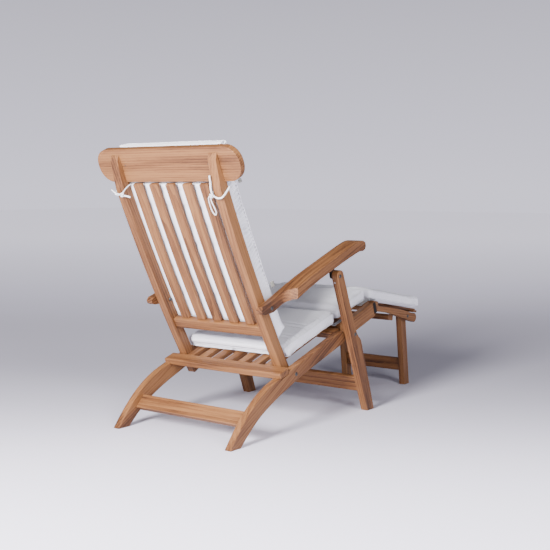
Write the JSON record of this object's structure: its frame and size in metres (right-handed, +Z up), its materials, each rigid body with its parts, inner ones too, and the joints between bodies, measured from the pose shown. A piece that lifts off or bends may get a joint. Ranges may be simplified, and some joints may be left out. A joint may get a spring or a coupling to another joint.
{
  "type": "folding deck chair",
  "caption": "Slatted teak deck chair with fold-down back and arms, folding front legs, a hinged leg rest on its own folding legs, and a tied-on white cushion.",
  "frame": {"origin": "on the ground, in the middle of the length and the width of the chair set up for use", "axes": "+Z up, the sitter faces -Y, +X is the sitter's left"},
  "size_m": [0.656, 1.4748, 1.052],
  "materials": {
    "teak": "oiled, fine sanded, straight grain with darker streaks",
    "stainless_steel": "satin",
    "black_steel": "satin black coating",
    "white_canvas": "plain fine weave, puckered at the seams",
    "white_cord": "soft twisted cotton"
  },
  "bodies": {
    "seat_frame": {"rear_leg_rail_right": "teak", "rear_leg_rail_left": "teak", "front_rail_right": "teak", "front_rail_left": "teak", "rear_cross_rail": "teak", "middle_cross_rail": "teak", "seat_joint_cleat": "teak", "seat_slat_1": "teak", "seat_slat_2": "teak", "seat_slat_3": "teak", "seat_slat_4": "teak", "seat_slat_5": "teak", "seat_slat_6": "teak", "seat_slat_7": "teak", "rear_stretcher": "teak", "front_seat_grating": "teak", "knee_hinge_seat_leaf_right": "stainless_steel", "knee_hinge_seat_leaf_left": "stainless_steel", "seat_cushion_rear": "white_canvas", "seat_cushion_front": "white_canvas"},
    "back": {"back_stile_right": "teak", "back_stile_left": "teak", "headboard": "teak", "back_lower_rail": "teak", "back_slat_1": "teak", "back_slat_2": "teak", "back_slat_3": "teak", "back_slat_4": "teak", "back_slat_5": "teak", "back_pivot_bolt_right": "stainless_steel", "back_pivot_bolt_left": "stainless_steel", "back_cushion": "white_canvas", "tie_right": "white_cord", "tie_left": "white_cord"},
    "right_arm": {"arm_right": "teak", "arm_bolt_right": "stainless_steel", "arm_catch_right": "black_steel"},
    "left_arm": {"arm_left": "teak", "arm_bolt_left": "stainless_steel", "arm_catch_left": "black_steel"},
    "front_legs": {"front_leg_right": "teak", "front_leg_left": "teak", "front_stretcher": "teak", "front_leg_bolt_right": "stainless_steel", "front_leg_bolt_left": "stainless_steel", "arm_catch_pin_right": "stainless_steel", "arm_catch_pin_left": "stainless_steel"},
    "leg_rest": {"leg_rest_rail_right": "teak", "leg_rest_rail_left": "teak", "leg_rest_knee_rail": "teak", "leg_rest_grating": "teak", "leg_rest_cross_rail": "teak", "knee_hinge_rest_leaf_right": "stainless_steel", "knee_hinge_rest_leaf_left": "stainless_steel", "leg_rest_cushion": "white_canvas"},
    "leg_rest_legs": {"leg_rest_leg_right": "teak", "leg_rest_leg_left": "teak", "leg_rest_stretcher": "teak", "leg_rest_bolt_right": "stainless_steel", "leg_rest_bolt_left": "stainless_steel"}
  },
  "joints": [
    {"name": "back_fold", "type": "hinge", "parent": "seat_frame", "child": "back", "pos_m": [0, 0.3316, 0.208], "axis": [1, 0, 0], "range_deg": [0, 78], "deforming": ["back_cushion", "seat_cushion_rear"]},
    {"name": "arm_right_pivot", "type": "hinge", "parent": "back", "child": "right_arm", "pos_m": [-0.26, 0.4726, 0.462], "axis": [1, 0, 0], "range_deg": [-78, 0]},
    {"name": "arm_left_pivot", "type": "hinge", "parent": "back", "child": "left_arm", "pos_m": [0.26, 0.4726, 0.462], "axis": [1, 0, 0], "range_deg": [-78, 0]},
    {"name": "front_legs_fold", "type": "hinge", "parent": "seat_frame", "child": "front_legs", "pos_m": [0, -0.0114, 0.317], "axis": [1, 0, 0], "range_deg": [0, 78]},
    {"name": "leg_rest_fold", "type": "hinge", "parent": "seat_frame", "child": "leg_rest", "pos_m": [0, -0.2244, 0.4275], "axis": [1, 0, 0], "range_deg": [0, 40]},
    {"name": "leg_rest_legs_fold", "type": "hinge", "parent": "leg_rest", "child": "leg_rest_legs", "pos_m": [0, -0.6394, 0.314], "axis": [1, 0, 0], "range_deg": [0, 60]}
  ],
  "couplings": [
    {"joint": "arm_right_pivot", "follows": "back_fold", "ratio": -1},
    {"joint": "arm_left_pivot", "follows": "back_fold", "ratio": -1},
    {"joint": "front_legs_fold", "follows": "back_fold", "ratio": 1},
    {"joint": "leg_rest_legs_fold", "follows": "leg_rest_fold", "ratio": 1.5}
  ]
}
